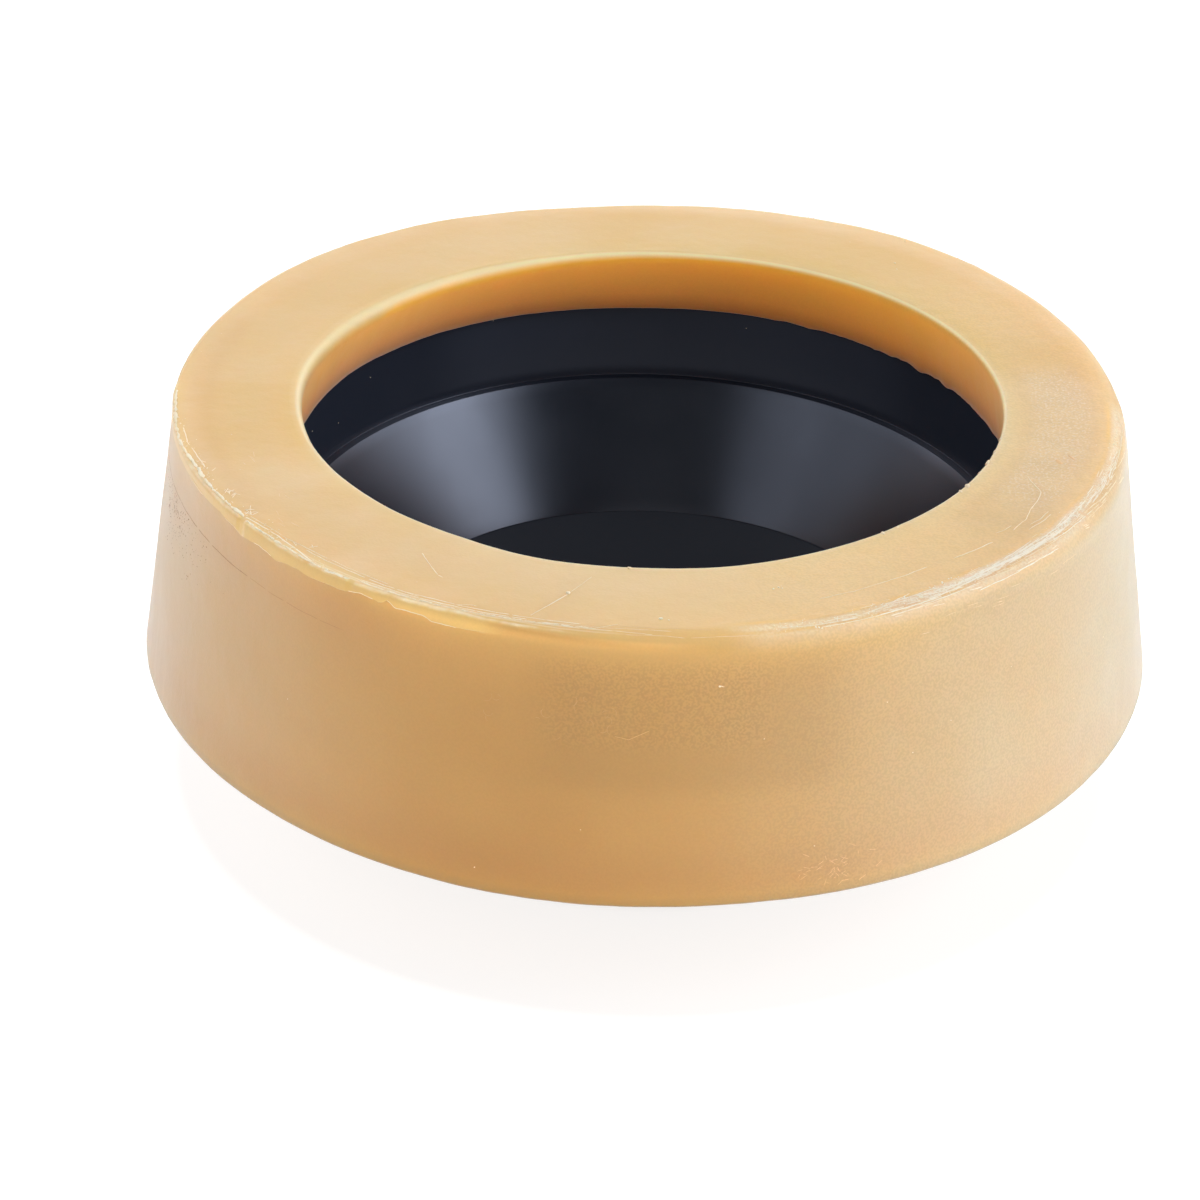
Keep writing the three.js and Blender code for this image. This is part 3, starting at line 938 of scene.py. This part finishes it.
    # the thin brownish line that runs round the left of the wall
    seam = [(-172, 45.0), (-163.5, 44.85), (-154, 44.7), (-147.6, 44.55), (-141.4, 44.5), (-124.5, 44.5)]
    t = -172.0
    while t < -125.0:
        length = rng.uniform(3.0, 9.0)
        stop = min(t + deg * length, -124.5)
        q = [
            (x, float(np.interp(x, [p[0] for p in seam], [p[1] for p in seam])) + 0.06 * float(noise1(np.array([x / 2.2]), 18)[0]))
            for x in np.linspace(t, stop, 12)
        ]
        L.burr(along_wall(q, 0.3), 0.085 if t < -142 else 0.07, 0.022, 0.12 if t < -142 else 0.22, 0.35)
        t = stop + deg * rng.uniform(0.1, 0.5)
    for _ in range(230):  # brown flecks below the line
        t, z = rng.normal(-160.5, 4.2), 44.3 - abs(rng.normal(0, 3.0))
        if t < -172 or z < 20:
            continue
        size = rng.uniform(0.05, 0.15)
        L.crumb(on_wall(t, z), size * rng.uniform(1, 1.8), size, size * 0.2, rng.uniform(0, 3), 0.05, 0.3)
    for t, z, size in (
        (-81.8, 44.7, 0.30), (-77.0, 38.0, 0.14), (-60.0, 33.0, 0.16), (-55.0, 35.5, 0.14),
        (-71.5, 24.0, 0.16), (-46.0, 39.0, 0.12), (-35.0, 30.0, 0.14), (-27.0, 34.0, 0.16),
        (-107.0, 20.5, 0.2), (-96.0, 27.0, 0.12), (-132.0, 33.0, 0.12), (-63.0, 40.0, 0.16),
        (-155.0, 37.6, 0.24), (-154.3, 38.3, 0.16),
    ):
        tone = 0.15 if t < -150 else 0.9
        L.crumb(on_wall(t, z), size, size * 0.8, size * 0.25, rng.uniform(0, 3), tone, 0.3)
    for _ in range(46):  # whitish scuffs by the foot
        t, z = -69.6 + deg * rng.normal(0, 2.0), 20.9 + rng.normal(0, 1.1)
        a = rng.uniform(0, 3.1)
        q = [(t + deg * x * math.cos(a), z + x * math.sin(a)) for x in np.linspace(-0.35, 0.35, 3) * rng.uniform(0.4, 1.5)]
        L.burr(along_wall(q, 0.15), rng.uniform(0.04, 0.07), 0.018, 0.66, 0.4)
    for _ in range(20):  # faint hooked squiggles on the front
        t, z = -100.0 + deg * rng.uniform(-7.0, 8.0), 40.5 + rng.normal(0, 1.2)
        a0, span, rad = rng.uniform(0, 6.2), rng.uniform(1.2, 3.4), rng.uniform(0.3, 0.8)
        q = [(t + deg * rad * math.cos(a0 + span * k), z + rad * math.sin(a0 + span * k)) for k in np.linspace(0, 1, 6)]
        L.burr(along_wall(q, 0.14), 0.055, 0.006, 0.31, 0.3)
    for _ in range(30):  # loose bits along the far part of the edge
        t, size = rng.uniform(20, 175), rng.uniform(0.08, 0.18)
        L.crumb(on_top(t, edge_radius(t) - rng.uniform(0.2, 2.5)), size * 1.8, size, size * 0.5, rng.uniform(0, 3), 0.8)
    for t, r, size in ((52.0, 52.3, 0.3), (50.5, 50.9, 0.14), (61.0, 54.5, 0.12)):  # pick marks
        L.crumb(on_top(t, r), size * 1.6, size * 0.5, size * 0.3, 0.6, 1.0)

    # a film of wax and dust on the black collar, just under the lip
    L.burr(along_collar([(149.8, 41.0), (153, 40.9), (156.5, 40.7), (159.6, 40.3)]), 0.07, 0.03, 0.25, 0.4)
    L.burr(along_collar([(109.5, 41.1), (111.2, 41.0), (113.0, 40.85)]), 0.10, 0.04, 0.75, 0.4)
    for t, z in ((117.5, 40.6), (160.5, 36.4), (143.0, 38.2), (152.0, 34.5), (74.0, 38.8)):
        L.crumb(along_collar([(t, z), (t + 1, z)])[0], 0.14, 0.1, 0.05, 0.3, 0.9)
    return L.mesh("wax_flash")


# ---------------------------------------------------------------------------------------------
# The horn
# ---------------------------------------------------------------------------------------------
def filleted(points):
    """A closed section with its corners rounded. Each point is (r, z, rounding, steps)."""
    out = []
    n = len(points)
    for i in range(n):
        p0 = np.array(points[i - 1][:2])
        p1 = np.array(points[i][:2])
        p2 = np.array(points[(i + 1) % n][:2])
        rad, steps = points[i][2], points[i][3]
        if rad <= 0:
            out.append(tuple(p1))
            continue
        a, b = (p0 - p1), (p2 - p1)
        la, lb = np.linalg.norm(a), np.linalg.norm(b)
        a, b = a / la, b / lb
        ang = math.acos(float(np.clip(a @ b, -1, 1)))
        t = min(rad / math.tan(ang / 2), 0.49 * la, 0.49 * lb)
        rad = t * math.tan(ang / 2)
        c = p1 + (a + b) / np.linalg.norm(a + b) * rad / math.sin(ang / 2)
        s, e = p1 + a * t - c, p1 + b * t - c
        a0 = math.atan2(s[1], s[0])
        da = math.atan2(s[0] * e[1] - s[1] * e[0], s @ e)
        for k in range(steps + 1):
            x = a0 + da * k / steps
            out.append((c[0] + rad * math.cos(x), c[1] + rad * math.sin(x)))
    return out


def subdivided(section, longest):
    out = []
    for i, p in enumerate(section):
        q = section[(i + 1) % len(section)]
        n = max(1, int(math.ceil(math.hypot(q[0] - p[0], q[1] - p[1]) / longest)))
        for k in range(n):
            out.append((p[0] + (q[0] - p[0]) * k / n, p[1] + (q[1] - p[1]) * k / n))
    return out


def horn():
    under = CONE_Z_TOP - WALL
    corner = THROAT_Z - 0.55
    section = filleted(
        [
            (TUBE_R_END, 0.0, 0.45, 5),
            (TUBE_R_END + WALL, 0.0, 0.35, 4),
            (cone_outer(WALL, corner), corner, 1.2, 5),
            (cone_outer(WALL, under), under, 0.3, 3),
            (COLLAR_R_BOTTOM + WALL, under, 0.5, 4),
            (COLLAR_R_TOP + WALL, COLLAR_Z_TOP, 0.35, 4),
            (COLLAR_R_TOP, COLLAR_Z_TOP, 0.35, 4),
            (COLLAR_R_BOTTOM, CONE_Z_TOP, 0.07, 3),
            (CONE_R_TOP, CONE_Z_TOP, 0.05, 4),
            (TUBE_R_THROAT, THROAT_Z, 0.35, 6),
        ]
    )
    section = subdivided(section, 1.6)
    columns, rows = 512, len(section)
    th = np.linspace(-math.pi, math.pi, columns, endpoint=False)
    R = np.array([p[0] for p in section])[None, :] + 0 * th[:, None]
    Z = np.array([p[1] for p in section])[None, :] + 0 * th[:, None]
    C, S = np.cos(th)[:, None], np.sin(th)[:, None]
    P = np.stack([R * C, R * S, Z], -1)
    # sinks and swirl of the moulding, a few hundredths of a millimetre
    sink = 0.02 * noise3(P / 18.0, 81)
    P[..., 0] += sink * C
    P[..., 1] += sink * S
    obj = new_mesh("horn_moulding", P.reshape(-1, 3), ring_faces(columns, rows), 40)
    # the collar's inner face is a little hazy, most at the back, and partly painted lighter; the ledge under it is
    # painted lighter where it would show as a dark strip of shade
    a = np.degrees(th)[:, None] + 0 * Z
    collar = (Z > CONE_Z_TOP + 0.15) * (R < COLLAR_R_TOP + 0.3)
    haze_and_painted_light = collar * (0.55 + 0.45 * window(a, 52, 118, 14))
    ledge = (np.abs(Z - CONE_Z_TOP) < 0.32) * (R > CONE_R_TOP - 0.35) * (R < COLLAR_R_BOTTOM + 0.2)
    add_attribute(obj, "haze_and_painted_light", np.maximum(haze_and_painted_light, 0.5 * ledge))
    return obj


# ---------------------------------------------------------------------------------------------
# Materials
# ---------------------------------------------------------------------------------------------
def lin(r, g, b):
    def f(c):
        c /= 255.0
        return c / 12.92 if c <= 0.04045 else ((c + 0.055) / 1.055) ** 2.4

    return (f(r), f(g), f(b), 1.0)


class Nodes:
    def __init__(self, name):
        self.mat = bpy.data.materials.new(name)
        self.mat.use_nodes = True
        self.t = self.mat.node_tree
        self.t.nodes.clear()
        self.out = self.t.nodes.new("ShaderNodeOutputMaterial")

    def new(self, kind, **props):
        n = self.t.nodes.new(kind)
        for k, v in props.items():
            setattr(n, k, v)
        return n

    def link(self, a, b):
        self.t.links.new(a, b)

    def put(self, socket, value):
        if isinstance(value, bpy.types.NodeSocket):
            self.link(value, socket)
        else:
            socket.default_value = value

    def math(self, op, a, b=0.0, c=0.0, clamp=False):
        n = self.new("ShaderNodeMath", operation=op, use_clamp=clamp)
        self.put(n.inputs[0], a)
        self.put(n.inputs[1], b)
        self.put(n.inputs[2], c)
        return n.outputs[0]

    def mix(self, fac, a, b, blend="MIX"):
        n = self.new("ShaderNodeMix", data_type="RGBA", blend_type=blend)
        self.put(n.inputs["Factor"], fac)
        self.put(n.inputs[6], a)
        self.put(n.inputs[7], b)
        return n.outputs[2]

    def mixf(self, fac, a, b):
        n = self.new("ShaderNodeMix", data_type="FLOAT")
        self.put(n.inputs[0], fac)
        self.put(n.inputs[2], a)
        self.put(n.inputs[3], b)
        return n.outputs[0]

    def ramp(self, value, lo, hi, a=0.0, b=1.0):
        n = self.new("ShaderNodeMapRange", interpolation_type="SMOOTHSTEP")
        self.put(n.inputs["Value"], value)
        self.put(n.inputs["From Min"], lo)
        self.put(n.inputs["From Max"], hi)
        self.put(n.inputs["To Min"], a)
        self.put(n.inputs["To Max"], b)
        return n.outputs["Result"]

    def noise(self, vector, scale, detail=2.0, rough=0.5, distortion=0.0):
        n = self.new("ShaderNodeTexNoise")
        self.link(vector, n.inputs["Vector"])
        n.inputs["Scale"].default_value = scale
        n.inputs["Detail"].default_value = detail
        n.inputs["Roughness"].default_value = rough
        n.inputs["Distortion"].default_value = distortion
        return n.outputs["Fac"]

    def attribute(self, name):
        return self.new("ShaderNodeAttribute", attribute_name=name).outputs["Fac"]

    def bump(self, height, strength, distance, normal=None):
        n = self.new("ShaderNodeBump")
        self.put(n.inputs["Strength"], strength)
        n.inputs["Distance"].default_value = distance
        self.link(height, n.inputs["Height"])
        if normal is not None:
            self.link(normal, n.inputs["Normal"])
        return n.outputs["Normal"]


def wax_material():
    m = Nodes("cast_wax")
    co = m.new("ShaderNodeTexCoord").outputs["Object"]

    def tint(color, name, amount, target):
        return m.mix(m.math("MULTIPLY", m.attribute(name), amount), color, target)

    mottled = m.noise(co, 60.0, 1.0, 0.6)
    cloudy = m.noise(co, 20.0, 0.0, 0.5)
    body = m.mix(m.ramp(mottled, 0.35, 0.7), lin(197, 143, 70), lin(202, 150, 78))
    body = m.mix(m.ramp(cloudy, 0.3, 0.7), body, lin(206, 156, 87))
    # pale, right and grey whiten the wall round the right and at the left: partly bloom, partly painted sheen of the
    # lamps
    body = tint(body, "pale", 0.42, lin(208, 201, 171))
    body = tint(body, "right", 0.20, lin(150, 182, 172))
    body = tint(body, "grey", 0.36, lin(186, 178, 152))
    # painted light: a warm glow under the lit edge
    body = tint(body, "painted_warm_glow", 0.72, lin(234, 190, 108))
    # painted shade: darker towards the foot
    body = tint(body, "low", 0.35, lin(150, 122, 62))
    top = m.mix(m.ramp(cloudy, 0.35, 0.65), lin(229, 190, 118), lin(233, 196, 127))
    top = tint(top, "dusty", 0.62, lin(210, 170, 102))
    top = tint(top, "cloudy", 0.5, lin(236, 206, 158))
    top = tint(top, "far", 0.75, lin(226, 180, 84))
    color = m.mix(m.attribute("lid"), body, top)
    # painted light: the hole's inside glows orange, painted darker deeper down
    inside = m.mix(m.attribute("deep"), lin(255, 188, 64), lin(250, 152, 50))
    color = m.mix(m.attribute("inner"), color, inside)
    # painted highlight: the rim's pale line
    color = tint(color, "rim", 0.9, lin(255, 231, 180))
    color = tint(color, "film", 0.62, lin(229, 191, 114))
    # painted sheen: the shoulder beside the highlight band is paler
    color = tint(color, "glow", 0.38, lin(242, 218, 180))
    color = tint(color, "orange", 0.8, lin(240, 194, 92))
    grains = m.noise(co, 2900.0, 1.0, 0.6)
    speck = m.ramp(grains, 0.42, 0.58, 0.42, 0.96)
    # painted highlight: the rubbed band is mixed towards near white in specks, partly wear and partly painted highlight
    # and glints
    color = m.mix(
        m.math("MULTIPLY", m.attribute("rubbed_and_highlight"), speck, clamp=True), color, lin(255, 251, 228)
    )
    frosty = m.math("MULTIPLY", m.attribute("frost"), m.ramp(grains, 0.52, 0.66, 0.10, 0.5))
    color = m.mix(frosty, color, lin(238, 220, 190))
    color = tint(color, "ridge", 0.8, lin(254, 236, 200))
    # fine grain of the cast surface, coarser and clearer round the right
    fine = m.noise(co, 3600.0, 0.0, 0.5)
    grain_tone = m.ramp(fine, 0.3, 0.7, -1.0, 1.0)
    amount = m.math("MULTIPLY", m.attribute("coarse"), 0.055)
    factor = m.math("MULTIPLY_ADD", grain_tone, amount, 1.0)
    factor = m.math("MULTIPLY", factor, m.attribute("shade"))
    scaled = m.new("ShaderNodeVectorMath", operation="SCALE")
    m.link(color, scaled.inputs[0])
    m.link(factor, scaled.inputs["Scale"])

    b = m.new("ShaderNodeBsdfPrincipled")
    m.link(scaled.outputs["Vector"], b.inputs["Base Color"])
    b.inputs["Subsurface Weight"].default_value = 1.0
    b.subsurface_method = "BURLEY"
    b.inputs["Subsurface Radius"].default_value = (1.0, 0.4, 0.12)
    b.inputs["Subsurface Scale"].default_value = 0.012
    b.inputs["Sheen Weight"].default_value = 0.4
    b.inputs["Sheen Roughness"].default_value = 0.5
    b.inputs["IOR"].default_value = 1.45
    rough = m.mixf(m.ramp(mottled, 0.3, 0.7), 0.34, 0.46)
    rough = m.mixf(m.attribute("rubbed_and_highlight"), rough, 0.22)
    m.link(rough, b.inputs["Roughness"])

    peel = m.noise(co, 480.0, 1.0, 0.5)
    n1 = m.bump(fine, m.mixf(m.attribute("coarse"), 0.25, 0.6), 0.00003)
    n2 = m.bump(peel, 0.5, 0.00008, n1)
    n3 = m.bump(grains, m.math("MULTIPLY", m.attribute("rubbed_and_highlight"), 0.9, clamp=True), 0.00008, n2)
    m.link(n3, b.inputs["Normal"])
    m.link(b.outputs[0], m.out.inputs["Surface"])
    return m.mat


def flash_material():
    m = Nodes("torn_wax")
    co = m.new("ShaderNodeTexCoord").outputs["Object"]
    tone = m.attribute("tone")
    pale = m.mix(m.ramp(m.noise(co, 300.0, 2.0), 0.35, 0.65), lin(252, 234, 198), lin(255, 242, 214))
    dark = m.mix(m.ramp(tone, 0.0, 0.5), lin(150, 100, 62), lin(230, 184, 118))
    color = m.mix(m.ramp(tone, 0.5, 1.0), dark, pale)
    # tones above 1 go near white; on the rubbed band these are partly painted glints
    color = m.mix(m.ramp(tone, 1.0, 1.5), color, lin(255, 249, 229))
    b = m.new("ShaderNodeBsdfPrincipled")
    m.link(color, b.inputs["Base Color"])
    b.inputs["Roughness"].default_value = 0.36
    b.inputs["IOR"].default_value = 1.45
    m.link(m.bump(m.noise(co, 2500.0, 2.0), 0.3, 0.00003), b.inputs["Normal"])
    m.link(b.outputs[0], m.out.inputs["Surface"])
    return m.mat


def plastic_material():
    m = Nodes("black_polyethylene")
    co = m.new("ShaderNodeTexCoord").outputs["Object"]
    b = m.new("ShaderNodeBsdfPrincipled")
    # painted light: collar and ledge are lighter than the black plastic, partly haze
    tone = m.mix(m.attribute("haze_and_painted_light"), (0.0027, 0.0050, 0.0117, 1), (0.024, 0.029, 0.044, 1))
    m.link(tone, b.inputs["Base Color"])
    b.inputs["IOR"].default_value = 1.6
    b.inputs["Specular Tint"].default_value = (0.92, 1.0, 1.22, 1)
    rough = m.mixf(m.ramp(m.noise(co, 90.0, 3.0, 0.6), 0.3, 0.7), 0.28, 0.315)
    m.link(rough, b.inputs["Roughness"])
    n1 = m.bump(m.noise(co, 900.0, 2.0), 0.03, 0.00002)
    m.link(n1, b.inputs["Normal"])
    m.link(b.outputs[0], m.out.inputs["Surface"])
    return m.mat


def floor_material():
    m = Nodes("pale_floor")
    b = m.new("ShaderNodeBsdfPrincipled")
    b.inputs["Base Color"].default_value = (0.25, 0.25, 0.25, 1)
    b.inputs["Roughness"].default_value = 0.7
    b.inputs["Specular IOR Level"].default_value = 0.2
    co = m.new("ShaderNodeTexCoord").outputs["Object"]
    # painted shadow: the floor's glow is weaker close to the object and full white further out
    away = m.new("ShaderNodeVectorMath", operation="LENGTH")
    m.link(co, away.inputs[0])
    lift = m.ramp(away.outputs["Value"], 0.027, 0.040, 0.25, 0.82)
    lift = m.math("MAXIMUM", lift, m.ramp(away.outputs["Value"], 0.045, 0.066, 0.0, 1.03))
    b.inputs["Emission Color"].default_value = (1, 1, 1, 1)
    m.link(lift, b.inputs["Emission Strength"])
    m.link(b.outputs[0], m.out.inputs["Surface"])
    return m.mat


# ---------------------------------------------------------------------------------------------
# Camera, floor, light
# ---------------------------------------------------------------------------------------------
def camera():
    data = bpy.data.cameras.new("camera")
    data.sensor_fit = "HORIZONTAL"
    data.sensor_width = 36.0
    data.lens = 36.0 * 3736.305 / 1200.0
    data.clip_start, data.clip_end = 0.01, 100.0
    obj = bpy.data.objects.new("camera", data)
    bpy.context.scene.collection.objects.link(obj)
    e, pan, tilt, roll, dist = 0.49423, -0.012, -0.02577, 0.02643, 8.0 * 59.0
    target = Vector((0, 0, WAX_BASE + 0.3 * 59.0))
    place = target + dist * Vector((0, -math.cos(e), math.sin(e)))
    fw = (target - place).normalized()
    r = Vector((1, 0, 0))
    u = r.cross(fw)
    fw, r = fw * math.cos(pan) + r * math.sin(pan), r * math.cos(pan) - fw * math.sin(pan)
    fw, u = fw * math.cos(tilt) + u * math.sin(tilt), u * math.cos(tilt) - fw * math.sin(tilt)
    r, u = r * math.cos(roll) + u * math.sin(roll), u * math.cos(roll) - r * math.sin(roll)
    m = Matrix((r, u, -fw)).transposed().to_4x4()
    m.translation = place * MM
    obj.matrix_world = m
    bpy.context.scene.camera = obj


def area(name, azimuth, elevation, distance, width, height, radiance, color=(1, 1, 1)):
    """A rectangular light that faces the object. Azimuth 0 is the near side, 90 the right."""
    data = bpy.data.lights.new(name, "AREA")
    data.shape = "RECTANGLE"
    data.size, data.size_y = width, height
    data.energy = radiance * math.pi * width * height
    data.color = color
    obj = bpy.data.objects.new(name, data)
    a, e = math.radians(azimuth), math.radians(elevation)
    way = Vector((math.sin(a) * math.cos(e), -math.cos(a) * math.cos(e), math.sin(e)))
    obj.location = Vector((0, 0, 0.035)) + way * distance
    obj.rotation_mode = "QUATERNION"
    obj.rotation_quaternion = way.to_track_quat("Z", "Y")
    obj.visible_camera = False
    bpy.context.scene.collection.objects.link(obj)
    return obj


COOL = (0.97, 1.0, 1.06)


def stage():
    floor = bpy.data.meshes.new("floor")
    s = 6.0
    floor.from_pydata([(-s, -s, 0), (s, -s, 0), (s, s, 0), (-s, s, 0)], [], [(0, 1, 2, 3)])
    obj = bpy.data.objects.new("floor", floor)
    obj.location = (0, 0, -0.0002)
    bpy.context.scene.collection.objects.link(obj)
    floor.materials.append(floor_material())

    # a tall soft box at the right, brightest in its middle, as five strips side by side
    for k, (azimuth, width, radiance) in enumerate(
        [(62, 0.33, 3.5), (74, 0.33, 5.4), (86, 0.33, 3.9), (98, 0.33, 2.1), (112, 0.5, 2.3)]
    ):
        area("key_%d" % k, azimuth, 30, 1.6, width, 1.1, radiance, COOL)
    for k, (azimuth, width, radiance) in enumerate(
        [(-50, 0.6, 1.35), (-72, 0.6, 1.05), (-94, 0.6, 1.0), (-120, 0.8, 2.5)]
    ):
        area("fill_%d" % k, azimuth, 30, 1.6, width, 1.1, radiance, COOL)
    area("backdrop", 180, 20, 2.2, 2.6, 1.2, 1.7)
    area("overhead", 180, 78, 1.7, 1.3, 1.2, 0.8)
    area("front", 0, 20, 1.7, 1.4, 0.9, 1.3)

    world = bpy.data.worlds.new("studio")
    bpy.context.scene.world = world
    world.use_nodes = True
    bg = world.node_tree.nodes["Background"]
    bg.inputs["Color"].default_value = (1, 1, 1, 1)
    bg.inputs["Strength"].default_value = 0.02

    view = bpy.context.scene.view_settings
    view.view_transform = "Standard"
    view.look = "None"
    view.exposure = 0.0
    view.gamma = 1.0


# ---------------------------------------------------------------------------------------------
# Put together
# ---------------------------------------------------------------------------------------------
camera()
stage()

ring = wax_ring()
ring.data.materials.append(wax_material())
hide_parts("wax_ring")
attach(ring, "root")

crumbs = flash()
crumbs.data.materials.append(flash_material())
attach(crumbs, "root")

funnel = horn()
funnel.data.materials.append(plastic_material())
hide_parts("horn")
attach(funnel, "root")
